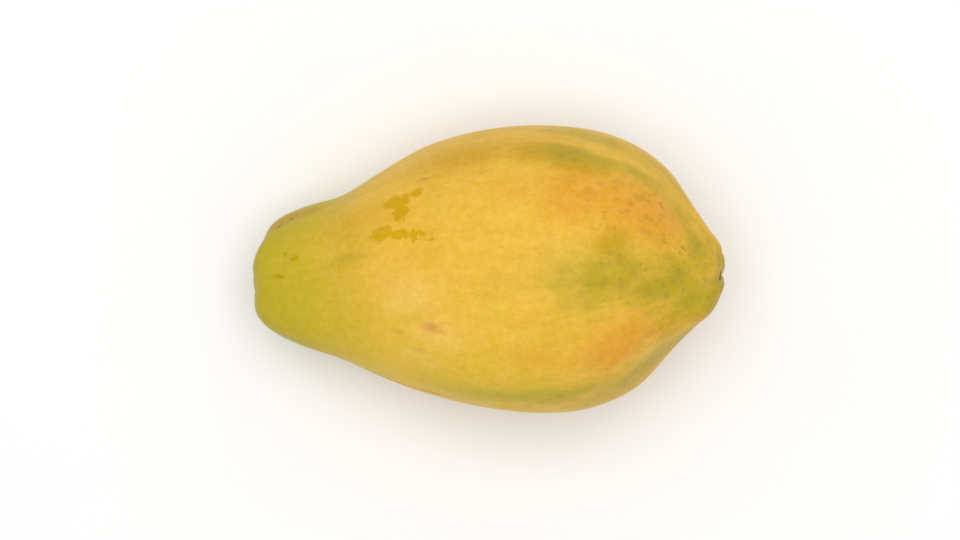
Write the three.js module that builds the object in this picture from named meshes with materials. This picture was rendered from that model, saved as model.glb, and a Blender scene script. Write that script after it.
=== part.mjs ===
// A small ripe papaya lying on its side, grown as one solid.
// Millimetres, +Z up, +X towards the blossom end, the stem end at -X, resting on z = 0.
import * as THREE from 'three';

// Driving sizes
const LENGTH = 147.0;
const BELLY_RADIUS = 44.4;
const HEIGHT_SHARE = 0.96;
const NECK_DROP = THREE.MathUtils.degToRad(13);
const FLAT_SPOT_DEPTH = 0.8;

// The outline from the stem end to the blossom end.
// Each station is a share of the length, a share of the belly radius and the axis's lean towards +Y in mm.
const STATIONS = [
  [0.006, 0.0, -4.0],
  [0.010, 0.215, -4.0],
  [0.036, 0.384, -3.0],
  [0.095, 0.484, -2.8],
  [0.190, 0.576, -2.7],
  [0.272, 0.708, -1.6],
  [0.366, 0.848, -0.5],
  [0.480, 0.952, -0.3],
  [0.605, 1.0, -0.1],
  [0.715, 0.969, 0.0],
  [0.808, 0.843, 0.4],
  [0.880, 0.630, 1.6],
  [0.934, 0.424, -0.2],
  [0.972, 0.286, -1.6],
  [0.990, 0.200, -0.6],
  [0.998, 0.142, -0.4],
  [1.0, 0.0, -2.8],
];

// Rings across the axis lie closer together towards the two ends.
const RINGS = 104;
const AROUND = 55;
const END_CROWDING = 0.58;
const OUTLINE_SAMPLES = 1600;

// Five soft lobes run along the fruit and grow towards the blossom end.
const LOBES = 5;
const LOBE_TURN = THREE.MathUtils.degToRad(30);
const LOBE_TWIST = THREE.MathUtils.degToRad(-20);
const TWIST_START = 0.84 * LENGTH;
const LOBE_HEIGHT = 0.45;
const LOBE_GROWTH = 0.15;
const LOBE_GROWTH_FROM = 0.63 * LENGTH;
const LOBE_GROWTH_TO = 0.89 * LENGTH;
const LOBE_STEM_FADE = [5, 18];
const LOBE_TIP_FADE = 16;

// Creases between the lobes meet in the puckered pit of the blossom end.
const CREASE_DEPTH = 0.6;
const CREASE_WIDTH = 1.2;
const CREASE_UNLIKE = { share: 0.35, folds: 2 };
const CREASE_FADE_IN = [0.6, 2.6];
const CREASE_FADE_OUT = [3, 12];
const PIT_DEPTH = 0.8;
const PIT_RADIUS = 1.8;

// The scar left by the fruit stalk: a raised uneven disc, hollow in the middle, in a ring groove.
const SCAR_RADIUS = 4.3;
const SCAR_HEIGHT = 1.1;
const SCAR_EDGE = [-0.6, 0.7];
const SCAR_WAVES = [[3, 0.28, 1.0], [7, 0.18, 0.0]];
const HOLLOW_DEPTH = 0.9;
const HOLLOW_RADIUS = 2.4;
const GROOVE_DEPTH = 0.7;
const GROOVE_RADIUS = 6.4;
const GROOVE_WIDTH = 1.4;
const SHOULDER_WAVE = 0.35;
const SHOULDER_AT = 13;
const SHOULDER_WIDTH = 5;
const SHOULDER_TURN = 0.6;

// Slow unevenness of the skin, and one flatter place beside the blossom end.
const ROLL_OVAL = { height: 0.30, pace: 15, shift: 1.3, folds: 2, turn: 0.4 };
const ROLL_WAVY = { height: 0.22, pace: 9.5, shift: 2.1, folds: 3 };
const ROLL_STEM_FADE = [6, 24];
const ROLL_TIP_FADE = [4, 20];
const FLATTER = { at: 127, turn: THREE.MathUtils.degToRad(-72), reach: 14, height: -0.3 };

const SKIN_COLOUR = 0xd6a93a;
const SKIN_ROUGHNESS = 0.45;

const { smoothstep } = THREE.MathUtils;

// A bell of height 1 round a middle.
function bell(distance, width) {
  return Math.exp(-((distance / width) ** 2));
}

// The outline is half of a closed curve that runs out along one side and back along the other,
// so both ends come out round.
function outlineCurve() {
  const out = STATIONS.map(([along, radius, lean]) => (
    new THREE.Vector3(along * LENGTH, radius * BELLY_RADIUS, lean)
  ));
  const back = out.slice(1, -1).reverse().map((point) => new THREE.Vector3(point.x, -point.y, point.z));
  return new THREE.CatmullRomCurve3([...out, ...back], true, 'centripetal');
}

// Points along the outline, each with the distance walked over the skin from the stem pole.
function walkOutline() {
  const curve = outlineCurve();
  const halfWay = (STATIONS.length - 1) / curve.points.length;
  const walk = [];
  let walked = 0;
  for (let i = 0; i <= OUTLINE_SAMPLES; i += 1) {
    const point = curve.getPoint((halfWay * i) / OUTLINE_SAMPLES);
    if (i > 0) {
      const before = walk[i - 1];
      walked += Math.hypot(point.x - before.along, point.y - before.radius);
    }
    walk.push({ walked, along: point.x, radius: Math.max(point.y, 0), lean: point.z });
  }
  return walk;
}

// The outline's place and outward direction after a walk of a given length.
function placeOnOutline(walk, distance) {
  let i = 1;
  while (i < walk.length - 1 && walk[i].walked < distance) {
    i += 1;
  }
  const a = walk[i - 1];
  const b = walk[i];
  const share = THREE.MathUtils.clamp((distance - a.walked) / (b.walked - a.walked), 0, 1);
  const step = b.walked - a.walked;
  return {
    along: THREE.MathUtils.lerp(a.along, b.along, share),
    radius: THREE.MathUtils.lerp(a.radius, b.radius, share),
    lean: THREE.MathUtils.lerp(a.lean, b.lean, share),
    outAlong: -(b.radius - a.radius) / step,
    outRadius: (b.along - a.along) / step,
  };
}

// How far round the five lobes a place is: 1 on a ridge, -1 in a furrow.
function lobeWave(along, angle) {
  const twist = LOBE_TWIST * smoothstep(along, TWIST_START, LENGTH);
  return Math.cos(LOBES * (angle - LOBE_TURN - twist));
}

function lobes(place, fromStem, toTip, angle) {
  const growth = LOBE_GROWTH * smoothstep(place.along, LOBE_GROWTH_FROM, LOBE_GROWTH_TO);
  const fade = smoothstep(fromStem, ...LOBE_STEM_FADE) * smoothstep(toTip, 0, LOBE_TIP_FADE);
  return (LOBE_HEIGHT + growth) * fade * lobeWave(place.along, angle);
}

// Each crease follows the furrow between two lobes, and they differ a little in depth.
function blossomEnd(place, toTip, angle) {
  const aside = (place.radius * Math.sqrt(2 * (1 + lobeWave(place.along, angle)))) / LOBES;
  const fade = smoothstep(toTip, ...CREASE_FADE_IN) * (1 - smoothstep(toTip, ...CREASE_FADE_OUT));
  const unlike = 1 + CREASE_UNLIKE.share * Math.sin(CREASE_UNLIKE.folds * angle);
  const crease = bell(aside, CREASE_WIDTH) * fade * unlike;
  return -CREASE_DEPTH * crease - PIT_DEPTH * bell(toTip, PIT_RADIUS);
}

function stemEnd(fromStem, angle) {
  let rim = SCAR_RADIUS;
  for (const [folds, height, shift] of SCAR_WAVES) {
    rim += height * Math.sin(folds * angle + shift);
  }
  const disc = SCAR_HEIGHT * (1 - smoothstep(fromStem, rim + SCAR_EDGE[0], rim + SCAR_EDGE[1]));
  const hollow = HOLLOW_DEPTH * bell(fromStem, HOLLOW_RADIUS);
  const groove = GROOVE_DEPTH * bell(fromStem - GROOVE_RADIUS, GROOVE_WIDTH);
  const folds = Math.cos(LOBES * (angle - LOBE_TURN) + SHOULDER_TURN);
  const shoulder = SHOULDER_WAVE * folds * bell(fromStem - SHOULDER_AT, SHOULDER_WIDTH);
  return disc - hollow - groove + shoulder;
}

function unevenness(place, fromStem, toTip, angle) {
  const fade = smoothstep(fromStem, ...ROLL_STEM_FADE) * smoothstep(toTip, ...ROLL_TIP_FADE);
  const oval = ROLL_OVAL.height * Math.sin(place.along / ROLL_OVAL.pace + ROLL_OVAL.shift)
    * Math.cos(ROLL_OVAL.folds * angle + ROLL_OVAL.turn);
  const wavy = ROLL_WAVY.height
    * Math.sin(place.along / ROLL_WAVY.pace + ROLL_WAVY.folds * angle + ROLL_WAVY.shift);
  const turned = Math.atan2(Math.sin(angle - FLATTER.turn), Math.cos(angle - FLATTER.turn));
  const away = Math.hypot(place.along - FLATTER.at, place.radius * turned);
  return (oval + wavy) * fade + FLATTER.height * bell(away, FLATTER.reach);
}

// A point of the skin. The angle is measured from straight up towards +Y.
function skinPoint(walk, fromStem, angle) {
  const place = placeOnOutline(walk, fromStem);
  const toTip = walk[walk.length - 1].walked - fromStem;
  const relief = lobes(place, fromStem, toTip, angle)
    + blossomEnd(place, toTip, angle)
    + stemEnd(fromStem, angle)
    + unevenness(place, fromStem, toTip, angle);
  const radius = place.radius + relief * place.outRadius;
  return new THREE.Vector3(
    place.along + relief * place.outAlong,
    radius * Math.sin(angle) + place.lean,
    radius * Math.cos(angle) * HEIGHT_SHARE,
  );
}

// Each pole is one point at the mean of a very small ring.
function polePoint(walk, fromStem) {
  const mean = new THREE.Vector3();
  for (let j = 0; j < AROUND; j += 1) {
    mean.add(skinPoint(walk, fromStem, (2 * Math.PI * j) / AROUND));
  }
  return mean.divideScalar(AROUND);
}

function skinPoints() {
  const walk = walkOutline();
  const whole = walk[walk.length - 1].walked;
  const points = [polePoint(walk, 0)];
  for (let i = 1; i < RINGS; i += 1) {
    const share = i / RINGS;
    const crowding = (END_CROWDING * Math.sin(2 * Math.PI * share)) / (2 * Math.PI);
    for (let j = 0; j < AROUND; j += 1) {
      points.push(skinPoint(walk, whole * (share - crowding), (2 * Math.PI * j) / AROUND));
    }
  }
  points.push(polePoint(walk, whole));
  return points;
}

// Fans at the two poles and a band of triangle pairs between each two rings.
function skinTriangles() {
  const triangles = [];
  const last = (RINGS - 1) * AROUND + 1;
  for (let j = 0; j < AROUND; j += 1) {
    const next = (j + 1) % AROUND;
    triangles.push(0, 1 + j, 1 + next);
    triangles.push(last, last - AROUND + next, last - AROUND + j);
    for (let i = 0; i < RINGS - 2; i += 1) {
      const here = 1 + i * AROUND;
      const beyond = here + AROUND;
      triangles.push(here + j, beyond + j, beyond + next);
      triangles.push(here + j, beyond + next, here + next);
    }
  }
  return triangles;
}

// The fruit lies with its neck low and is pressed a little flat where it touches the ground.
function layDown(points) {
  const drop = new THREE.Vector3(0, 1, 0);
  for (const point of points) {
    point.applyAxisAngle(drop, -NECK_DROP);
  }
  const box = new THREE.Box3().setFromPoints(points);
  const middle = box.getCenter(new THREE.Vector3());
  for (const point of points) {
    point.x -= middle.x;
    point.y -= middle.y;
    point.z = Math.max(point.z - box.min.z - FLAT_SPOT_DEPTH, 0);
  }
  return points;
}

function fruit() {
  const geometry = new THREE.BufferGeometry();
  geometry.setFromPoints(layDown(skinPoints()));
  geometry.setIndex(skinTriangles());
  geometry.computeVertexNormals();
  const skin = new THREE.MeshStandardMaterial({
    name: 'papaya_skin',
    color: SKIN_COLOUR,
    roughness: SKIN_ROUGHNESS,
    metalness: 0,
  });
  const mesh = new THREE.Mesh(geometry, skin);
  mesh.name = 'papaya';
  return mesh;
}

const part = new THREE.Group();
part.name = 'papaya_whole';
part.add(fruit());

export default part;
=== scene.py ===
# A small ripe papaya lying on its side, seen from straight above on a pale floor.
# The fruit's skin is one fine mesh made by formula, which stands for the plain solid of the frame.
import math

import bpy
import numpy as np
from mathutils import Color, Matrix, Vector


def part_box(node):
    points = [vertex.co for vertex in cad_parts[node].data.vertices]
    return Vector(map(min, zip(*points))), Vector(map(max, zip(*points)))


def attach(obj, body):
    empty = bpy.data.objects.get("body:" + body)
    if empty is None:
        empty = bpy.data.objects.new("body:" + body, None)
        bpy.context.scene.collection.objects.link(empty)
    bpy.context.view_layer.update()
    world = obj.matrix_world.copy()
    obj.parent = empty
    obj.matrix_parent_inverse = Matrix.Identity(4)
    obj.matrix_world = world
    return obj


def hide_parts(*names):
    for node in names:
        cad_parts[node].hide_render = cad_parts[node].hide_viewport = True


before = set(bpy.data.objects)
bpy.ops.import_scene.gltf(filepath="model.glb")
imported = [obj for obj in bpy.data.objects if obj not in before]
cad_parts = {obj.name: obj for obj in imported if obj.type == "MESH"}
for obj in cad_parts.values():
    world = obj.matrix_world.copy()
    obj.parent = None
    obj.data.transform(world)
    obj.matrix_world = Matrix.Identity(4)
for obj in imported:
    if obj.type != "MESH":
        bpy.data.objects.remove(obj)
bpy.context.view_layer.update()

MM = 0.001

# Driving sizes of the fruit in mm, and how far its neck drops
LENGTH = 147.0
BELLY_RADIUS = 44.4
HEIGHT_SHARE = 0.96
NECK_DROP = math.radians(13)
FLAT_SPOT_DEPTH = 0.8

# The outline from the stem end to the blossom end.
# Each station is a share of the length, a share of the belly radius and the axis's lean towards +Y in mm.
STATIONS = [
    (0.006, 0.0, -4.0),
    (0.010, 0.215, -4.0),
    (0.036, 0.384, -3.0),
    (0.095, 0.484, -2.8),
    (0.190, 0.576, -2.7),
    (0.272, 0.708, -1.6),
    (0.366, 0.848, -0.5),
    (0.480, 0.952, -0.3),
    (0.605, 1.0, -0.1),
    (0.715, 0.969, 0.0),
    (0.808, 0.843, 0.4),
    (0.880, 0.630, 1.6),
    (0.934, 0.424, -0.2),
    (0.972, 0.286, -1.6),
    (0.990, 0.200, -0.6),
    (0.998, 0.142, -0.4),
    (1.0, 0.0, -2.8),
]

# The mesh's rings across the axis lie closer together towards the two ends.
RINGS = 330
AROUND = 280
END_CROWDING = 0.58
SAMPLES_PER_SPAN = 120

# Five soft lobes run along the fruit and grow towards the blossom end.
LOBES = 5
LOBE_TURN = math.radians(30)
LOBE_TWIST = math.radians(-20)
TWIST_START = 0.84 * LENGTH
LOBE_HEIGHT = 0.45
LOBE_GROWTH = 0.15
LOBE_GROWTH_SPAN = (0.63 * LENGTH, 0.89 * LENGTH)
LOBE_STEM_FADE = (5, 18)
LOBE_TIP_FADE = (0, 16)

# Creases between the lobes meet in the puckered pit of the blossom end.
CREASE_DEPTH = 0.6
CREASE_WIDTH = 1.2
CREASE_UNLIKE = {"share": 0.35, "folds": 2}
CREASE_FADE_IN = (0.6, 2.6)
CREASE_FADE_OUT = (3, 12)
PIT_DEPTH = 0.8
PIT_RADIUS = 1.8

# The scar left by the fruit stalk: a raised uneven disc, hollow in the middle, in a ring groove.
SCAR_RADIUS = 4.3
SCAR_HEIGHT = 1.1
SCAR_EDGE = (-0.6, 0.7)
SCAR_WAVES = [(3, 0.28, 1.0), (7, 0.18, 0.0)]
HOLLOW_DEPTH = 0.9
HOLLOW_RADIUS = 2.4
GROOVE_DEPTH = 0.7
GROOVE_RADIUS = 6.4
GROOVE_WIDTH = 1.4
SHOULDER_WAVE = 0.35
SHOULDER_AT = 13
SHOULDER_WIDTH = 5
SHOULDER_TURN = 0.6

# Fine folds of the skin that run into the two ends: height, number round the fruit, place and width in mm
TIP_WRINKLES = {"height": 0.05, "folds": 23, "bend": 1.7, "waves": 4, "at": 5.5, "width": 3.0}
STEM_WRINKLES = {"height": 0.05, "folds": 19, "bend": 1.3, "waves": 3, "at": 8.5, "width": 3.0}

# Slow unevenness of the skin, and one flatter place beside the blossom end
ROLL_OVAL = {"height": 0.30, "pace": 15, "shift": 1.3, "folds": 2, "turn": 0.4}
ROLL_WAVY = {"height": 0.22, "pace": 9.5, "shift": 2.1, "folds": 3}
ROLL_STEM_FADE = (6, 24)
ROLL_TIP_FADE = (4, 20)
FLATTER = {"at": 127, "turn": math.radians(-72), "reach": 14, "height": -0.3}

# The photograph's size and the fruit's middle in pixels, and the pixels to the mm
IMAGE_WIDTH = 960
IMAGE_HEIGHT = 540
PIXELS_PER_MM = 3.255
FRUIT_MIDDLE_PIXEL = (487.0, 269.0)
# The camera's height in metres and its sensor in mm
CAMERA_HEIGHT = 1.3
SENSOR_WIDTH = 36.0

# Colours as eight-bit screen values
EIGHT_BIT_FULL = 255
GREEN = (190, 171, 38)
MID_YELLOW = (233, 186, 68)
LOW_YELLOW = (223, 188, 50)
DEEP_AMBER = (206, 156, 26)
ORANGE = (227, 162, 51)
OLIVE = (182, 160, 36)
LEAF_OLIVE = (163, 146, 34)
GREY_OLIVE = (126, 122, 56)
ROSE = (206, 138, 72)
# Tan stands partly for worn skin and partly for painted shade on the neck's top side
TAN_AND_SHADE = (192, 142, 30)
PAINTED_SHEEN = (244, 200, 104)
# Painted sheen: a pale yellow laid over the skin where light lies on it, not a colour of the skin
SPECK_BROWN = (140, 92, 40)
CORK = (150, 118, 72)
CORK_DARK = (88, 64, 38)
PIT_BROWN = (126, 98, 54)
CALLUS = (214, 196, 132)

# Soft patches of colour on the skin; the pale ones are painted sheen, and one olive patch is partly painted
# shade
# Each is a place along the fruit in mm, an angle from straight up towards +Y in degrees,
# its reach along and across in mm, and its strength.
GREEN_PATCHES = [
    (90, -60, 23, 5.5, 0.9),
]
OLIVE_PATCHES = [
    (34, 10, 9, 2.0, 0.5),
    (5, 10, 6, 20, 0.15),
    (108, 54, 16, 6, 0.75),
    (126, 58, 10, 4.6, 0.6),
    (137, 56, 8, 4, 0.5),
    (94, -6, 20, 7, 0.3),
    (144.5, -52, 5, 7, 0.95),
    # This patch is partly the skin's olive and partly painted shade, greying the upper side of the blossom
    # half
    (112, 76, 26, 9, 0.5),
    (102, -62, 18, 5, 0.45),
    (117, -5, 20, 12, 0.75),
    (132, -15, 9, 7, 0.95),
    (137, -6, 9, 9, 0.75),
    (142, 28, 5, 10, 0.8),
    (140, -33, 9, 9, 0.85),
    (131, -31, 6, 3.5, 0.6),
    (134, -58, 6, 4, 0.5),
    (98, 165, 30, 7, 0.6),
    (70, -125, 24, 9, 0.45),
    (84, 118, 20, 6, 0.5),
]
WARM_PATCHES = [
    (125, 34, 17, 13, 0.95),
    (108, 32, 14, 14, 0.85),
    (119, -39, 13, 9, 1.0),
    (131, -47, 7, 4, 0.6),
    (92, 32, 17, 9, 0.4),
    (97, -36, 15, 8, 0.45),
    (90, 62, 18, 7, 0.4),
    (60, 0, 14, 14, 0.25),
]
AMBER_PATCHES = [
    (72, 55, 22, 9, 0.75),
    (97, 54, 16, 7, 1.0),
    (40, 30, 16, 9, 0.5),
    (119, 12, 6, 5, 0.8),
    (107, 48, 11, 6, 0.9),
    (132.5, -43, 6, 5, 0.6),
]
# Patches of painted pale sheen, where light lies on the skin, not colour of the skin
PAINTED_SHEEN_PATCHES = [
    (58, -12, 12, 8, 0.9),
    (66, -28, 13, 7, 0.8),
    (60, -42, 10, 5, 0.6),
    (112, 68, 30, 5, 0.3),
]
# Places where the skin's own colour is deeper
DEEP_MARKS = [
    (52.4, 33.5, 6.0, 2.8, 1.0),
    (54.6, 26.5, 3.4, 4.0, 1.0),
    (58.6, 36.5, 2.6, 1.8, 1.0),
    (48.6, 18.6, 5.4, 2.8, 1.0),
    (54.5, 16.5, 5.2, 2.0, 1.0),
    (60.6, 15.4, 6.4, 3.0, 0.75),
    (65.0, 12.8, 3.4, 0.8, 0.8),
    (17.9, 15.4, 1.8, 1.5, 1.0),
    (14.6, 19.3, 0.9, 1.2, 0.8),
    (16.2, 11.6, 1.2, 0.8, 0.7),
    (12.4, 1.3, 3.4, 0.9, 0.9),
]
# Tan on the neck's top side: partly worn skin, partly painted shade
TAN_AND_SHADE_PATCHES = [
    (10, 66, 9, 5, 1.0),
    (18, 65, 8, 4, 0.8),
]
ROSE_PATCHES = [
    (64.5, -24.5, 4.4, 2.4, 0.68),
    (60, -37, 3.6, 1.5, 0.6),
    (53, -29.5, 3.5, 1.4, 0.4),
    (45, -80, 9, 1.5, 0.95),
    (59, -75, 6, 1.4, 0.85),
    (60.5, 44, 3.2, 0.8, 0.8),
]
MOTTLE_PATCHES = [
    (124, -3, 17, 13, 0.9),
    (141, -32, 8, 9, 0.8),
    (134, -8, 12, 12, 1.0),
    (122, 34, 18, 12, 0.8),
    (124, -56, 14, 10, 0.5),
    (92, -66, 20, 7, 0.7),
    (105, 54, 16, 6, 0.7),
    (142, 0, 8, 24, 0.8),
    (98, 165, 30, 12, 0.8),
    (76, -130, 26, 12, 0.7),
]
SPECK_PATCHES = [
    (127, 34, 14, 10, 0.6),
    (120, 18, 12, 8, 0.5),
    (122, -50, 12, 9, 0.5),
    (9, 70, 5, 4, 0.5),
    (96, 120, 26, 14, 0.7),
    (60, -150, 24, 12, 0.6),
]
# Single dark points: along in mm, angle in degrees, radius in mm and strength
POINTS = [
    (10.1, 55.3, 0.75, 1.0),
    (13.5, 61.7, 0.6, 1.0),
    (119.2, 39.9, 0.8, 0.3),
    (119.8, 33.4, 0.6, 0.3),
    (123.6, 33.4, 0.8, 0.4),
    (123.1, 28.3, 0.7, 0.4),
    (128.3, 39.9, 0.6, 0.4),
    (131.3, 45.0, 0.5, 0.6),
    (131.8, 43.0, 0.4, 0.6),
    (132.0, 36.0, 0.5, 0.4),
    (127.9, 28.3, 0.9, 0.4),
    (129.4, 27.8, 0.6, 0.4),
    (130.5, 25.7, 0.6, 0.4),
    (118.5, 18.0, 0.8, 0.3),
    (127.4, 19.3, 1.0, 0.3),
    (129.2, 19.3, 0.8, 0.3),
    (133.1, 18.0, 0.7, 0.4),
    (137.6, 20.8, 0.5, 0.8),
    (138.3, 20.0, 0.35, 0.7),
]
# Places with thin brown scratches along the fruit
SCRATCHED_PATCHES = [
    (124, -40, 12, 6, 1.0),
    (133, -42, 8, 4, 0.8),
    (110, 150, 26, 9, 0.6),
    (58, -140, 20, 8, 0.5),
]

# The green neck, the olive tip and a band of another yellow low on one side
# Spans are places along the fruit, or from its tip, in mm. Turns are from straight up towards +Y.
NECK_SPAN = (6, 54)
TIP_SPAN = (3, 16)
TIP_OLIVE = 0.7
LOW_BAND = {"turn": math.radians(-62), "width": math.radians(38), "fade": (70, 120)}

# In the blossom half the furrows are olive and mottled, and the ridges are orange and specked.
# Both swing in strength round the fruit, and lose most of their colour on one side.
BLOSSOM_SPAN = (84, 122)
RIDGE_TIP_FADE = (4, 18)
FURROW_STRENGTH = 0.6
RIDGE_STRENGTH = 0.8
STRENGTH_SWING = {"height": 0.4, "folds": 2, "pace": 30}
FAINT_SIDE = {"turn": math.radians(45), "width": math.radians(60)}
FURROW_OLIVE = {"full": 0.65, "lost": 0.55}
FURROW_MOTTLE = {"full": 0.7, "lost": 0.4}
RIDGE_WARM = {"full": 0.8, "lost": 0.5}
RIDGE_SPECKS = 0.35

# The colours of the two ends, in mm over the skin from the edge of the scar or of the pit
CORK_EDGE = (-1.3, -0.2)
SCAR_RING = {"out": 0.1, "width": 0.9, "strength": 0.6}
PIT_WAVE = 0.5
PIT_EDGE = (-0.7, 0.4)
PIT_RING = {"out": 0.9, "width": 0.8}
FOLD_FADE = (2, 9)
FOLD_SHARPNESS = 4

# Streaks are patterns pulled long from end to end: the way along is shortened in them,
# and the way round is that round a part of the belly.
GROWN_PLACE = "grown_place"
GROWN_SHORTENING = 0.28
GROWN_WIDTH = 0.75

# Noises of the skin: the size of their lumps in mm, their detail and their roughness
# The long ones are streaks.
NOISES = {
    "broad": {"size": 26, "detail": 2},
    "middle": {"size": 8, "detail": 3, "roughness": 0.55},
    "small": {"size": 2.4, "detail": 3, "roughness": 0.6},
    "fine": {"size": 0.7, "detail": 3, "roughness": 0.6},
}
LONG_NOISES = {
    "streaky": {"size": 3.5, "detail": 4, "roughness": 0.65},
    "thready": {"size": 1.6, "detail": 2, "roughness": 0.6},
}
# Nearly all of a noise lies in this span, with its mean in the middle.
NOISE_SPAN = (0.3, 0.7)
NOISE_MEAN = 0.5

# Layers of colour over the skin; the pale layer is painted sheen, and the tan one is partly painted shade
# Each follows the mask of its name, whose edge is broken up by a noise, as far as the noise's reach.
# It comes in over a span of that mask, and covers the skin up to its strength.
LAYERS = {
    "warm": {"colour": ORANGE, "noise": "middle", "reach": 0.5, "span": (0.1, 0.95), "strength": 0.9},
    "amber": {"colour": DEEP_AMBER, "noise": "middle", "reach": 0.4, "span": (0.1, 0.9), "strength": 0.8},
    # The pale layer is painted sheen.
    "pale": {"colour": PAINTED_SHEEN, "noise": "middle", "reach": 0.5, "span": (0.1, 0.9), "strength": 0.5},
    "olive": {"colour": OLIVE, "noise": "streaks", "reach": 0.9, "span": (0.05, 0.95), "strength": 0.9},
    # The tan layer is partly wear and partly painted shade.
    "tan_and_shade": {"colour": TAN_AND_SHADE, "noise": "small", "reach": 0.5, "span": (0.2, 0.8), "strength": 0.6},
    "rose": {"colour": ROSE, "noise": "streaky", "reach": 0.9, "span": (0.15, 0.75), "strength": 0.7},
}
# Where a mask is below this value, its layer fades out.
MASK_PRESENT = 0.25

# Other ways in which noises shape the colours, as spans of the noise and strengths of the colour
AMBER_STREAKS = {"span": (0.35, 0.75), "strength": 0.3}
LOW_BAND_LEAST = 0.5
GREEN_DRIFT = 0.12
LEAFY = {"small_span": (0.38, 0.68), "middle_span": (0.4, 0.6), "strength": 0.5}
DEEPER = {"reach": 1.7, "span": (0.42, 0.66), "saturation": 1.4, "value": 0.81}
CALLUS_SPAN = {"low": 0.3, "high": 0.6, "to_low": 0.2, "to_high": 0.6}
FOLD_STRENGTH = 0.4
FINE_SHADE = (0.96, 1.03)
SMALL_SHADE = (0.97, 1.03)
SATURATION = (1.01, 0.98)

# Spots: the distance between them and their radius in mm, and the share of places that have one
# A shake makes their edges uneven, by a noise with lumps of a size and a reach in mm.
MOTTLE_SHAKE = {"size": 2.0, "reach": 1.0}
WIDE_MOTTLES = {"size": 4.6, "radius": 2.3, "share": 0.75}
WIDE_STRENGTH = 0.31
CLOSE_MOTTLES = {"size": 2.6, "radius": 1.1, "share": 0.7}
CLOSE_STRENGTH = 0.38
SPECK_SHAKE = {"size": 0.8, "reach": 0.25}
SPECKS = {"size": 2.5, "radius": 0.65, "share": 0.6}
SPECK_STRENGTH = 0.8
SCRATCHES = {"width": 0.035, "gaps": (0.45, 0.6), "strength": 0.5}
BROWN_STRENGTH = 0.75
SPOT_SIZES = (0.6, 1.4)
SPOT_EDGE = 0.9
POINT_EDGE = (0.4, 1.6)

# The fine relief of the skin, sizes and heights in mm
SKIN_WAVES = {"size": 4.5, "height": 0.1}
PORES = {"size": 1.3, "edge": 0.5, "height": 0.01}
GRAIN = {"size": 0.45, "height": 0.012}
CORK_GRAIN = {"size": 0.6, "detail": 3, "roughness": 0.7}
CORK_HEIGHT = 0.8

# The gloss of the skin and the light that goes under it
GLOSS_NOISE = {"size": 9, "detail": 3}
ROUGHNESS = (0.40, 0.48)
DRY_ROUGHNESS = 0.35
ROSE_DRYNESS = 0.6
SPECULAR = 0.08
SUBSURFACE = {"weight": 0.1, "scale": 3 * MM, "radius": (1.0, 0.6, 0.15)}

# The studio in metres and watts, with soft clouds on the floor in mm
WHITE = (1, 1, 1, 1)
FLOOR_SIZE = 6.0
FLOOR_CLOUDS = 60
FLOOR_GREYS = (0.895, 0.9)
FLOOR_ROUGHNESS = 0.9
FLOOR_GLOW = 0.04
WORLD_STRENGTH = 0.55
KEY_LIGHT = {"power": 16.0, "size": 1.2, "place": (0.0, 0.12, 1.6)}

# The sockets of a node that mixes two colours
MIX_SHARE = 0
MIX_A = 6
MIX_B = 7
MIX_RESULT = 2


def smoothstep(value, low, high):
    """0 up to low, 1 from high on, and a soft step between them."""
    t = np.clip((value - low) / (high - low), 0, 1)
    return t * t * (3 - 2 * t)


def bell(distance, width):
    """A bell of height 1 round a middle."""
    return np.exp(-((distance / width) ** 2))


def linear(colour):
    """An eight-bit screen colour as the linear values that a shader takes."""
    shares = Color([value / EIGHT_BIT_FULL for value in colour])
    return (*shares.from_srgb_to_scene_linear(), 1.0)


def outline_span(p0, p1, p2, p3):
    """One span of a centripetal Catmull-Rom curve, from p1 almost to p2."""
    d0, d1, d2 = (math.sqrt(np.linalg.norm(b - a)) for a, b in ((p0, p1), (p1, p2), (p2, p3)))
    t1 = ((p1 - p0) / d0 - (p2 - p0) / (d0 + d1) + (p2 - p1) / d1) * d1
    t2 = ((p2 - p1) / d1 - (p3 - p1) / (d1 + d2) + (p3 - p2) / d2) * d1
    t = np.linspace(0, 1, SAMPLES_PER_SPAN, endpoint=False)[:, None]
    return p1 + t1 * t + (3 * (p2 - p1) - 2 * t1 - t2) * t**2 + (2 * (p1 - p2) + t1 + t2) * t**3


def walk_outline():
    """The outline as places along the axis, radii and leans, with the distance walked over the skin.

    It is half of a closed curve that runs out along one side and back along the other,
    so both ends come out round.
    """
    out = [np.array((along * LENGTH, radius * BELLY_RADIUS, lean)) for along, radius, lean in STATIONS]
    back = [point * (1, -1, 1) for point in out[-2:0:-1]]
    loop = out + back
    spans = []
    for i in range(len(out) - 1):
        spans.append(outline_span(loop[i - 1], loop[i], loop[i + 1], loop[(i + 2) % len(loop)]))
    line = np.vstack([*spans, out[-1][None]])
    steps = np.linalg.norm(np.diff(line[:, :2], axis=0), axis=1)
    return line, np.concatenate([[0], np.cumsum(steps)])


def place_on_outline(line, walked, distance):
    """Along, radius, lean and the outward direction after a walk over the skin."""
    after = np.clip(np.searchsorted(walked, distance), 1, len(walked) - 1)
    a = line[after - 1]
    b = line[after]
    step = walked[after] - walked[after - 1]
    share = np.clip((distance - walked[after - 1]) / step, 0, 1)
    along, radius, lean = np.moveaxis(a + (b - a) * share[..., None], -1, 0)
    out_along = -(b[..., 1] - a[..., 1]) / step
    out_radius = (b[..., 0] - a[..., 0]) / step
    return along, radius, lean, out_along, out_radius


def lobe_wave(along, angle):
    """1 on a ridge, -1 in a furrow."""
    twist = LOBE_TWIST * smoothstep(along, TWIST_START, LENGTH)
    return np.cos(LOBES * (angle - LOBE_TURN - twist))


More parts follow.
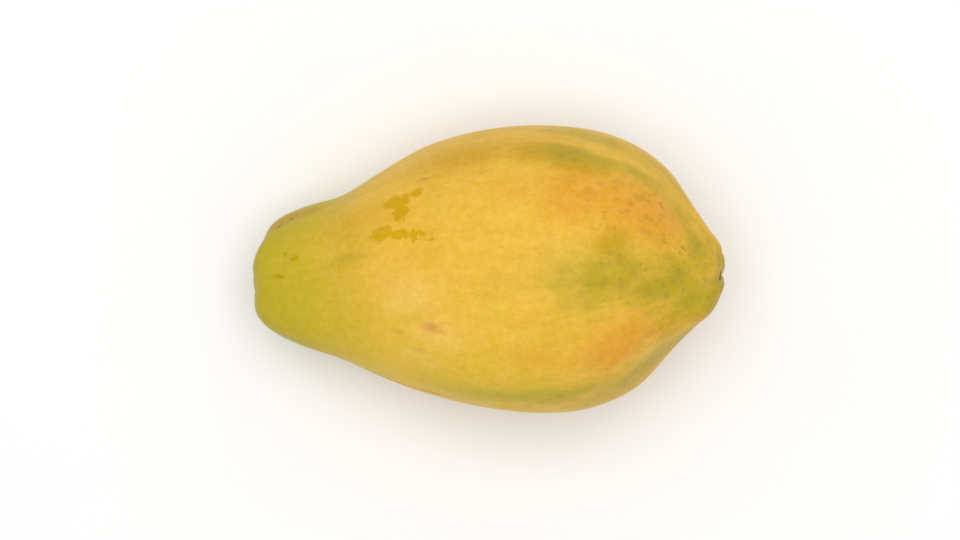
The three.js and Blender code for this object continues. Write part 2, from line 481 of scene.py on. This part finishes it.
def lobes(along, from_stem, to_tip, angle):
    """The height of the soft lobes, which fade out at both ends."""
    growth = LOBE_GROWTH * smoothstep(along, *LOBE_GROWTH_SPAN)
    fade = smoothstep(from_stem, *LOBE_STEM_FADE) * smoothstep(to_tip, *LOBE_TIP_FADE)
    return (LOBE_HEIGHT + growth) * fade * lobe_wave(along, angle)


def crease(along, radius, to_tip, angle):
    """How deep a place lies in one of the creases, which differ from each other a little."""
    aside = radius * np.sqrt(2 * (1 + lobe_wave(along, angle))) / LOBES
    fade = smoothstep(to_tip, *CREASE_FADE_IN) * (1 - smoothstep(to_tip, *CREASE_FADE_OUT))
    unlike = 1 + CREASE_UNLIKE["share"] * np.sin(CREASE_UNLIKE["folds"] * angle)
    return bell(aside, CREASE_WIDTH) * fade * unlike


def blossom_end(along, radius, to_tip, angle):
    """The creases and the pit in which they meet."""
    return -CREASE_DEPTH * crease(along, radius, to_tip, angle) - PIT_DEPTH * bell(to_tip, PIT_RADIUS)


def scar_rim(angle):
    """How far from the stem pole the scar's uneven rim lies."""
    return SCAR_RADIUS + sum(height * np.sin(folds * angle + shift) for folds, height, shift in SCAR_WAVES)


def stem_end(from_stem, angle):
    """The scar with its hollow, the groove round it and the uneven shoulder beyond."""
    rim = scar_rim(angle)
    disc = SCAR_HEIGHT * (1 - smoothstep(from_stem, rim + SCAR_EDGE[0], rim + SCAR_EDGE[1]))
    hollow = HOLLOW_DEPTH * bell(from_stem, HOLLOW_RADIUS)
    groove = GROOVE_DEPTH * bell(from_stem - GROOVE_RADIUS, GROOVE_WIDTH)
    folds = np.cos(LOBES * (angle - LOBE_TURN) + SHOULDER_TURN)
    shoulder = SHOULDER_WAVE * folds * bell(from_stem - SHOULDER_AT, SHOULDER_WIDTH)
    return disc - hollow - groove + shoulder


def wrinkles(distance, angle, height, folds, bend, waves, at, width):
    """Fine folds that run out from an end, spread unevenly round it."""
    return height * np.sin(folds * angle + bend * np.sin(waves * angle)) * bell(distance - at, width)


def turned_by(angle, middle):
    """The turn from a middle to an angle, the short way round."""
    return np.arctan2(np.sin(angle - middle), np.cos(angle - middle))


def unevenness(along, radius, from_stem, to_tip, angle):
    """Slow swells of the skin and the flatter place."""
    fade = smoothstep(from_stem, *ROLL_STEM_FADE) * smoothstep(to_tip, *ROLL_TIP_FADE)
    oval = ROLL_OVAL["height"] * np.sin(along / ROLL_OVAL["pace"] + ROLL_OVAL["shift"])
    oval = oval * np.cos(ROLL_OVAL["folds"] * angle + ROLL_OVAL["turn"])
    wavy = np.sin(along / ROLL_WAVY["pace"] + ROLL_WAVY["folds"] * angle + ROLL_WAVY["shift"])
    away = np.hypot(along - FLATTER["at"], radius * turned_by(angle, FLATTER["turn"]))
    dent = FLATTER["height"] * bell(away, FLATTER["reach"])
    return (oval + ROLL_WAVY["height"] * wavy) * fade + dent


def lay_down(points):
    """The fruit lies with its neck low, pressed a little flat where it touches the ground."""
    x, y, z = np.moveaxis(points, -1, 0)
    c = math.cos(NECK_DROP)
    s = math.sin(NECK_DROP)
    laid = np.stack([x * c - z * s, y, x * s + z * c], -1)
    low = laid.min((0, 1))
    laid[..., 2] = np.maximum(laid[..., 2] - low[2] - FLAT_SPOT_DEPTH, 0)
    return laid


def fit_to_frame(points):
    """Places the skin exactly in the box of the frame's solid."""
    low, high = (np.array(corner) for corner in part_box("papaya"))
    own_low = points.min((0, 1))
    own_high = points.max((0, 1))
    return low + (points - own_low) * (high - low) / (own_high - own_low)


def skin_grid():
    """The skin's points on rings round the axis, and each one's place on the fruit."""
    line, walked = walk_outline()
    share = np.linspace(0, 1, RINGS + 1)
    crowding = END_CROWDING * np.sin(2 * math.pi * share) / (2 * math.pi)
    turn = np.arange(AROUND) * 2 * math.pi / AROUND
    from_stem, angle = np.meshgrid(walked[-1] * (share - crowding), turn, indexing="ij")
    to_tip = walked[-1] - from_stem
    along, radius, lean, out_along, out_radius = place_on_outline(line, walked, from_stem)
    relief = lobes(along, from_stem, to_tip, angle)
    relief = relief + blossom_end(along, radius, to_tip, angle)
    relief = relief + stem_end(from_stem, angle)
    relief = relief + unevenness(along, radius, from_stem, to_tip, angle)
    relief = relief + wrinkles(to_tip, angle, **TIP_WRINKLES)
    relief = relief + wrinkles(from_stem, angle, **STEM_WRINKLES)
    out = radius + relief * out_radius
    points = np.stack([
        along + relief * out_along,
        out * np.sin(angle) + lean,
        out * np.cos(angle) * HEIGHT_SHARE,
    ], -1)
    points[0] = points[0].mean(0)
    points[-1] = points[-1].mean(0)
    places = {"along": along, "radius": radius, "angle": angle, "from_stem": from_stem, "to_tip": to_tip}
    return fit_to_frame(lay_down(points)), places


def without_repeats(grid):
    """The values of a grid with one value for each pole."""
    return np.concatenate([grid[0, :1], grid[1:-1].reshape(-1, *grid.shape[2:]), grid[-1, :1]])


def skin_faces():
    """Fans at the two poles and quads between each two rings."""
    faces = []
    last = (RINGS - 1) * AROUND + 1
    for j in range(AROUND):
        beside = (j + 1) % AROUND
        faces.append((0, 1 + j, 1 + beside))
        faces.append((last, last - AROUND + beside, last - AROUND + j))
        for i in range(RINGS - 2):
            here = 1 + i * AROUND
            beyond = here + AROUND
            faces.append((here + j, beyond + j, beyond + beside, here + beside))
    return faces


def patches(places, listed):
    """Soft spots of colour, the strongest one counting where they overlap."""
    cover = np.zeros_like(places["along"])
    for at, degrees, reach_along, reach_across, strength in listed:
        aside = places["radius"] * turned_by(places["angle"], math.radians(degrees))
        away = np.hypot((places["along"] - at) / reach_along, aside / reach_across)
        cover = np.maximum(cover, strength * np.exp(-away**2))
    return cover


def points_cover(places):
    """Small round spots with a soft edge."""
    cover = np.zeros_like(places["along"])
    for at, degrees, radius, strength in POINTS:
        aside = places["radius"] * turned_by(places["angle"], math.radians(degrees))
        away = np.hypot(places["along"] - at, aside) / radius
        cover = np.maximum(cover, strength * (1 - smoothstep(away, *POINT_EDGE)))
    return cover


def grown_place(places):
    """A place in mm for patterns that run from end to end, as the fruit grew."""
    return np.stack([
        places["from_stem"] * GROWN_SHORTENING,
        BELLY_RADIUS * GROWN_WIDTH * np.sin(places["angle"]),
        BELLY_RADIUS * GROWN_WIDTH * np.cos(places["angle"]),
    ], -1)


def furrows_and_ridges(places):
    """How far each place of the blossom half lies in a furrow, and how far on a ridge."""
    wave = lobe_wave(places["along"], places["angle"])
    part = smoothstep(places["along"], *BLOSSOM_SPAN)
    swing = STRENGTH_SWING["folds"] * places["angle"] + places["along"] / STRENGTH_SWING["pace"]
    swing = STRENGTH_SWING["height"] * np.sin(swing)
    furrows = (1 - wave) / 2 * part * (FURROW_STRENGTH + swing)
    ridges = (1 + wave) / 2 * part * (RIDGE_STRENGTH - swing)
    return furrows, ridges * smoothstep(places["to_tip"], *RIDGE_TIP_FADE)


def ripe_masks(places):
    """How far each colour of the ripe skin, and the painted pale sheen, covers each point."""
    furrows, ridges = furrows_and_ridges(places)
    faint = bell(turned_by(places["angle"], FAINT_SIDE["turn"]), FAINT_SIDE["width"])
    olive = (FURROW_OLIVE["full"] - FURROW_OLIVE["lost"] * faint) * furrows
    olive = olive + TIP_OLIVE * (1 - smoothstep(places["to_tip"], *TIP_SPAN))
    warm = (RIDGE_WARM["full"] - RIDGE_WARM["lost"] * faint) * ridges
    mottle = (FURROW_MOTTLE["full"] - FURROW_MOTTLE["lost"] * faint) * furrows
    low = bell(turned_by(places["angle"], LOW_BAND["turn"]), LOW_BAND["width"])
    neck = 1 - smoothstep(places["along"], *NECK_SPAN)
    return {
        "green": np.maximum(neck, patches(places, GREEN_PATCHES)),
        "low": low * (1 - smoothstep(places["along"], *LOW_BAND["fade"])),
        "olive": np.maximum(patches(places, OLIVE_PATCHES), olive),
        "warm": np.maximum(patches(places, WARM_PATCHES), warm),
        "amber": patches(places, AMBER_PATCHES),
        # pale: painted sheen
        "pale": patches(places, PAINTED_SHEEN_PATCHES),
        "mottle": np.maximum(patches(places, MOTTLE_PATCHES), mottle),
        "speck": np.maximum(patches(places, SPECK_PATCHES), RIDGE_SPECKS * ridges),
    }


def mark_masks(places):
    """How far the marks of handling and weather, with the painted shade in the tan, cover each point."""
    return {
        "deep": patches(places, DEEP_MARKS),
        # tan: partly wear, partly painted shade
        "tan_and_shade": patches(places, TAN_AND_SHADE_PATCHES),
        "rose": patches(places, ROSE_PATCHES),
        "scratched": patches(places, SCRATCHED_PATCHES),
        "point": points_cover(places),
    }


def end_masks(places):
    """The corky stalk scar and the pit, the pale rims of both, and the brown folds round the pit."""
    to_tip = places["to_tip"]
    cork_edge = scar_rim(places["angle"])
    pit_edge = PIT_RADIUS - PIT_WAVE * lobe_wave(places["along"], places["angle"])
    creased = np.clip(crease(places["along"], places["radius"], to_tip, places["angle"]), 0, 1)
    pit_ring = bell(to_tip - pit_edge - PIT_RING["out"], PIT_RING["width"])
    scar_ring = bell(places["from_stem"] - cork_edge - SCAR_RING["out"], SCAR_RING["width"])
    return {
        "cork": 1 - smoothstep(places["from_stem"], cork_edge + CORK_EDGE[0], cork_edge + CORK_EDGE[1]),
        "callus": np.maximum(pit_ring, SCAR_RING["strength"] * scar_ring),
        "pit": 1 - smoothstep(to_tip, pit_edge + PIT_EDGE[0], pit_edge + PIT_EDGE[1]),
        "fold": creased**FOLD_SHARPNESS * (1 - smoothstep(to_tip, *FOLD_FADE)),
    }


def skin_masks(places):
    """All masks of the skin by name, from 0 to 1."""
    return {**ripe_masks(places), **mark_masks(places), **end_masks(places)}


class Shader:
    """Short ways to add and join shader nodes."""

    def __init__(self, material):
        material.use_nodes = True
        self.tree = material.node_tree
        self.tree.nodes.clear()

    def node(self, kind, inputs=None, **settings):
        """A new node with its settings and inputs, which are values or other nodes' outputs."""
        made = self.tree.nodes.new(kind)
        for name, value in settings.items():
            setattr(made, name, value)
        for name, value in (inputs or {}).items():
            self.put(made.inputs[name], value)
        return made

    def put(self, socket, value):
        if isinstance(value, bpy.types.NodeSocket):
            self.tree.links.new(value, socket)
        else:
            socket.default_value = value

    def math(self, operation, a, b=0.0, clamp=False):
        made = self.node("ShaderNodeMath", {0: a, 1: b}, operation=operation, use_clamp=clamp)
        return made.outputs[0]

    def vector_math(self, operation, a, others):
        return self.node("ShaderNodeVectorMath", {0: a, **others}, operation=operation).outputs[0]

    def mask(self, name):
        return self.node("ShaderNodeAttribute", attribute_name=name).outputs["Fac"]

    def mix(self, share, a, b):
        """From a to b by a share."""
        inputs = {MIX_SHARE: share, MIX_A: a, MIX_B: b}
        return self.node("ShaderNodeMix", inputs, data_type="RGBA").outputs[MIX_RESULT]

    def ramp(self, value, low, high, to_low=0.0, to_high=1.0):
        """A soft step from to_low to to_high while the value goes from low to high."""
        inputs = {"Value": value, "From Min": low, "From Max": high, "To Min": to_low, "To Max": to_high}
        made = self.node("ShaderNodeMapRange", inputs, interpolation_type="SMOOTHSTEP")
        return made.outputs[0]

    def noise(self, place, size, detail=2.0, roughness=0.5):
        """A noise whose lumps are about size mm across."""
        inputs = {"Vector": place, "Scale": 1 / size, "Detail": detail, "Roughness": roughness}
        return self.node("ShaderNodeTexNoise", inputs).outputs[0]

    def cells(self, place, size):
        """The distance from the nearest of points about size mm apart, as a share of size, and its tint."""
        made = self.node("ShaderNodeTexVoronoi", {"Vector": place, "Scale": 1 / size})
        return made.outputs["Distance"], made.outputs["Color"]


def place_in_mm(shader):
    """The place on the object, for patterns whose sizes are in mm."""
    place = shader.node("ShaderNodeTexCoord").outputs["Object"]
    return shader.vector_math("SCALE", place, {"Scale": 1 / MM})


def edged(shader, mask, noise, reach, span):
    """A soft mask with its edge broken up by a noise."""
    lift = shader.math("MULTIPLY", shader.math("SUBTRACT", noise, NOISE_MEAN), reach)
    present = shader.ramp(mask, 0.0, MASK_PRESENT)
    return shader.math("MULTIPLY", shader.ramp(shader.math("ADD", mask, lift), *span), present)


def spots(shader, place, size, radius, share):
    """Spots with a soft edge at a share of places about size mm apart."""
    away, tint = shader.cells(place, size)
    chosen = shader.node("ShaderNodeSeparateColor", {0: tint})
    here = shader.math("LESS_THAN", chosen.outputs[0], share)
    reaches = [scale * radius / size for scale in SPOT_SIZES]
    reach = shader.ramp(chosen.outputs[1], 0.0, 1.0, *reaches)
    cover = shader.math("SUBTRACT", 1.0, shader.math("DIVIDE", away, reach), clamp=True)
    return shader.math("MULTIPLY", shader.ramp(cover, 0.0, SPOT_EDGE), here)


def shaken(shader, place, size, reach):
    """The place moved about by a noise, for uneven edges. Reach is in mm."""
    shift = shader.node("ShaderNodeTexNoise", {"Vector": place, "Scale": 1 / size})
    shift = shader.vector_math("SUBTRACT", shift.outputs["Color"], {1: (NOISE_MEAN,) * 3})
    shift = shader.vector_math("SCALE", shift, {"Scale": 2 * reach})
    return shader.vector_math("ADD", place, {1: shift})


def skin_noises(shader, place):
    """The noises by name, and soft streaks as the mean of two of them."""
    grown = shader.node("ShaderNodeAttribute", attribute_name=GROWN_PLACE).outputs["Vector"]
    noises = {name: shader.noise(place, **kind) for name, kind in NOISES.items()}
    noises.update({name: shader.noise(grown, **kind) for name, kind in LONG_NOISES.items()})
    both = shader.math("ADD", noises["streaky"], noises["middle"])
    noises["streaks"] = shader.math("DIVIDE", both, 2)
    return noises


def lay_over(shader, colour, name, noises):
    """The colour with a layer over it, and how far that layer covers."""
    layer = LAYERS[name]
    cover = edged(shader, shader.mask(name), noises[layer["noise"]], layer["reach"], layer["span"])
    share = shader.math("MULTIPLY", cover, layer["strength"])
    return shader.mix(share, colour, linear(layer["colour"])), cover


def ground_colour(shader, noises):
    """Yellow with amber streaks, another yellow low on the side, and green on the neck."""
    streaks = shader.ramp(noises["streaky"], *AMBER_STREAKS["span"], 0.0, AMBER_STREAKS["strength"])
    colour = shader.mix(streaks, linear(MID_YELLOW), linear(DEEP_AMBER))
    cloudy = shader.ramp(noises["middle"], *NOISE_SPAN, LOW_BAND_LEAST, 1.0)
    colour = shader.mix(shader.math("MULTIPLY", shader.mask("low"), cloudy), colour, linear(LOW_YELLOW))
    drift = shader.ramp(noises["broad"], *NOISE_SPAN, -GREEN_DRIFT, GREEN_DRIFT)
    green = shader.math("ADD", shader.mask("green"), drift, clamp=True)
    return shader.mix(green, colour, linear(GREEN))


def ripe_colour(shader, colour, noises):
    """Orange, amber and olive patches, a painted pale sheen, and greener places within the olive ones."""
    for name in ("warm", "amber", "pale", "olive"):
        colour, cover = lay_over(shader, colour, name, noises)
    leafy = shader.math("MULTIPLY", cover, shader.ramp(noises["small"], *LEAFY["small_span"]))
    leafy = shader.math("MULTIPLY", leafy, shader.ramp(noises["middle"], *LEAFY["middle_span"]))
    return shader.mix(shader.math("MULTIPLY", leafy, LEAFY["strength"]), colour, linear(LEAF_OLIVE))


def deeper_marks(shader, colour, noises):
    """Marks in which the skin's own colour is fuller and darker."""
    cover = edged(shader, shader.mask("deep"), noises["small"], DEEPER["reach"], DEEPER["span"])
    inputs = {"Color": colour, "Saturation": DEEPER["saturation"], "Value": DEEPER["value"]}
    return shader.mix(cover, colour, shader.node("ShaderNodeHueSaturation", inputs).outputs[0])


def mottled(shader, colour, place):
    """Soft spots of grey olive in two sizes."""
    uneven = shaken(shader, place, **MOTTLE_SHAKE)
    wide = shader.math("MULTIPLY", spots(shader, uneven, **WIDE_MOTTLES), WIDE_STRENGTH)
    close = shader.math("MULTIPLY", spots(shader, uneven, **CLOSE_MOTTLES), CLOSE_STRENGTH)
    cover = shader.math("MULTIPLY", shader.math("MAXIMUM", wide, close), shader.mask("mottle"))
    return shader.mix(cover, colour, linear(GREY_OLIVE))


def scratches(shader, noises):
    """Thin broken lines along the fruit, where a long noise passes its mean."""
    off_line = shader.math("ABSOLUTE", shader.math("SUBTRACT", noises["thready"], NOISE_MEAN))
    line = shader.ramp(off_line, 0.0, SCRATCHES["width"], 1.0, 0.0)
    line = shader.math("MULTIPLY", line, shader.ramp(noises["small"], *SCRATCHES["gaps"]))
    faint = shader.math("MULTIPLY", shader.mask("scratched"), SCRATCHES["strength"])
    return shader.math("MULTIPLY", line, faint)


def browned(shader, colour, place, noises):
    """Brown specks, single points and scratches."""
    specks = spots(shader, shaken(shader, place, **SPECK_SHAKE), **SPECKS)
    specks = shader.math("MULTIPLY", specks, shader.math("MULTIPLY", shader.mask("speck"), SPECK_STRENGTH))
    cover = shader.math("MAXIMUM", specks, shader.mask("point"))
    cover = shader.math("MAXIMUM", cover, scratches(shader, noises))
    return shader.mix(shader.math("MULTIPLY", cover, BROWN_STRENGTH), colour, linear(SPECK_BROWN))


def end_colours(shader, colour, noises):
    """The pale rims of scar and pit, the brown folds and dark pit, and the scar's cork."""
    callus = shader.math("MULTIPLY", shader.mask("callus"), shader.ramp(noises["small"], **CALLUS_SPAN))
    colour = shader.mix(callus, colour, linear(CALLUS))
    fold = shader.math("MULTIPLY", shader.mask("fold"), FOLD_STRENGTH)
    colour = shader.mix(fold, colour, linear(PIT_BROWN))
    pit = shader.mix(shader.ramp(noises["fine"], *NOISE_SPAN), linear(CORK_DARK), linear(PIT_BROWN))
    colour = shader.mix(shader.mask("pit"), colour, pit)
    cork = shader.mix(shader.ramp(noises["small"], *NOISE_SPAN), linear(CORK_DARK), linear(CORK))
    return shader.mix(shader.mask("cork"), colour, cork)


def lively(shader, colour, noises):
    """Small changes of lightness and fullness all over."""
    shade = shader.ramp(noises["fine"], *NOISE_SPAN, *FINE_SHADE)
    shade = shader.math("MULTIPLY", shade, shader.ramp(noises["small"], *NOISE_SPAN, *SMALL_SHADE))
    full = shader.ramp(noises["small"], *NOISE_SPAN, *SATURATION)
    inputs = {"Color": colour, "Saturation": full, "Value": shade}
    return shader.node("ShaderNodeHueSaturation", inputs).outputs[0]


def skin_colour(shader, place):
    """The skin's colour, and how far the rosy places cover it."""
    noises = skin_noises(shader, place)
    colour = ground_colour(shader, noises)
    colour = ripe_colour(shader, colour, noises)
    # Tan wear with painted shade on the neck's top side
    colour, _ = lay_over(shader, colour, "tan_and_shade", noises)
    colour = deeper_marks(shader, colour, noises)
    colour = mottled(shader, colour, place)
    colour, rose = lay_over(shader, colour, "rose", noises)
    colour = browned(shader, colour, place, noises)
    colour = end_colours(shader, colour, noises)
    return lively(shader, colour, noises), rose


def skin_height(shader, place):
    """The fine relief of the skin in mm."""
    waves = shader.math("MULTIPLY", shader.noise(place, SKIN_WAVES["size"]), SKIN_WAVES["height"])
    away, _ = shader.cells(place, PORES["size"])
    pores = shader.math("MULTIPLY", shader.ramp(away, 0.0, PORES["edge"]), PORES["height"])
    grain = shader.math("MULTIPLY", shader.noise(place, GRAIN["size"]), GRAIN["height"])
    cork = shader.math("MULTIPLY", shader.noise(place, **CORK_GRAIN), shader.mask("cork"))
    height = shader.math("ADD", shader.math("ADD", waves, pores), grain)
    return shader.math("ADD", height, shader.math("MULTIPLY", cork, CORK_HEIGHT))


def skin_roughness(shader, place, rose):
    """A satin skin, duller on cork, in the pit and on rosy places."""
    dry = shader.math("MAXIMUM", shader.mask("cork"), shader.mask("pit"))
    dry = shader.math("MAXIMUM", dry, shader.math("MULTIPLY", rose, ROSE_DRYNESS))
    satin = shader.ramp(shader.noise(place, **GLOSS_NOISE), *NOISE_SPAN, *ROUGHNESS)
    return shader.math("ADD", satin, shader.math("MULTIPLY", dry, DRY_ROUGHNESS), clamp=True)


def skin_material():
    """The whole material of the skin, made of nodes."""
    material = bpy.data.materials.new("papaya_skin")
    shader = Shader(material)
    place = place_in_mm(shader)
    colour, rose = skin_colour(shader, place)
    relief = {"Height": skin_height(shader, place), "Distance": MM, "Strength": 1.0}
    surface = shader.node("ShaderNodeBsdfPrincipled", {
        "Base Color": colour,
        "Roughness": skin_roughness(shader, place, rose),
        "Specular IOR Level": SPECULAR,
        "Normal": shader.node("ShaderNodeBump", relief).outputs[0],
        "Subsurface Weight": SUBSURFACE["weight"],
        "Subsurface Scale": SUBSURFACE["scale"],
        "Subsurface Radius": SUBSURFACE["radius"],
    })
    shader.node("ShaderNodeOutputMaterial", {"Surface": surface.outputs[0]})
    return material


def make_skin():
    """The fine skin with its masks, which stands for the frame's solid."""
    grid, places = skin_grid()
    mesh = bpy.data.meshes.new("papaya_fine_skin")
    mesh.from_pydata(without_repeats(grid).tolist(), [], skin_faces())
    for name, cover in skin_masks(places).items():
        layer = mesh.attributes.new(name, "FLOAT", "POINT")
        layer.data.foreach_set("value", without_repeats(cover).astype(np.float32))
    layer = mesh.attributes.new(GROWN_PLACE, "FLOAT_VECTOR", "POINT")
    layer.data.foreach_set("vector", without_repeats(grown_place(places)).astype(np.float32).ravel())
    mesh.shade_smooth()
    mesh.materials.append(skin_material())
    skin = bpy.data.objects.new("papaya_fine_skin", mesh)
    bpy.context.collection.objects.link(skin)
    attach(skin, "root")
    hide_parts("papaya")


def make_floor():
    """A plain pale floor."""
    half = FLOOR_SIZE / 2
    mesh = bpy.data.meshes.new("floor")
    corners = [(-half, -half, 0), (half, -half, 0), (half, half, 0), (-half, half, 0)]
    mesh.from_pydata(corners, [], [(0, 1, 2, 3)])
    material = bpy.data.materials.new("floor")
    shader = Shader(material)
    clouds = shader.noise(place_in_mm(shader), FLOOR_CLOUDS)
    grey = shader.ramp(clouds, *NOISE_SPAN, *FLOOR_GREYS)
    colour = shader.node("ShaderNodeCombineColor", {0: grey, 1: grey, 2: grey})
    surface = shader.node("ShaderNodeBsdfPrincipled", {
        "Base Color": colour.outputs[0],
        "Roughness": FLOOR_ROUGHNESS,
        "Emission Color": WHITE,
        "Emission Strength": FLOOR_GLOW,
    })
    shader.node("ShaderNodeOutputMaterial", {"Surface": surface.outputs[0]})
    mesh.materials.append(material)
    floor = bpy.data.objects.new("floor", mesh)
    bpy.context.collection.objects.link(floor)


def make_light(name, power, size, place):
    """A soft square lamp that points at the fruit."""
    data = bpy.data.lights.new(name, "AREA")
    data.energy = power
    data.size = size
    light = bpy.data.objects.new(name, data)
    light.location = place
    light.rotation_mode = "QUATERNION"
    light.rotation_quaternion = (-Vector(place)).to_track_quat("-Z", "Y")
    bpy.context.collection.objects.link(light)


def make_world():
    """Even white light from all round."""
    world = bpy.data.worlds.new("studio")
    world.use_nodes = True
    background = world.node_tree.nodes["Background"]
    background.inputs["Color"].default_value = WHITE
    background.inputs["Strength"].default_value = WORLD_STRENGTH
    bpy.context.scene.world = world


def make_camera(middle_height):
    """Looks straight down with the photograph's top towards +Y."""
    data = bpy.data.cameras.new("camera")
    data.sensor_width = SENSOR_WIDTH
    seen_width = IMAGE_WIDTH / PIXELS_PER_MM * MM
    data.lens = SENSOR_WIDTH * (CAMERA_HEIGHT - middle_height) / seen_width
    camera = bpy.data.objects.new("camera", data)
    aside = (IMAGE_WIDTH / 2 - FRUIT_MIDDLE_PIXEL[0]) / PIXELS_PER_MM * MM
    up = (FRUIT_MIDDLE_PIXEL[1] - IMAGE_HEIGHT / 2) / PIXELS_PER_MM * MM
    camera.location = (aside, up, CAMERA_HEIGHT)
    bpy.context.collection.objects.link(camera)
    bpy.context.scene.camera = camera


def make_studio():
    """All that lights and carries the fruit."""
    make_world()
    make_floor()
    make_light("key", **KEY_LIGHT)
    bpy.context.scene.view_settings.view_transform = "Standard"


make_skin()
make_camera(middle_height=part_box("papaya")[1].z / 2)
make_studio()
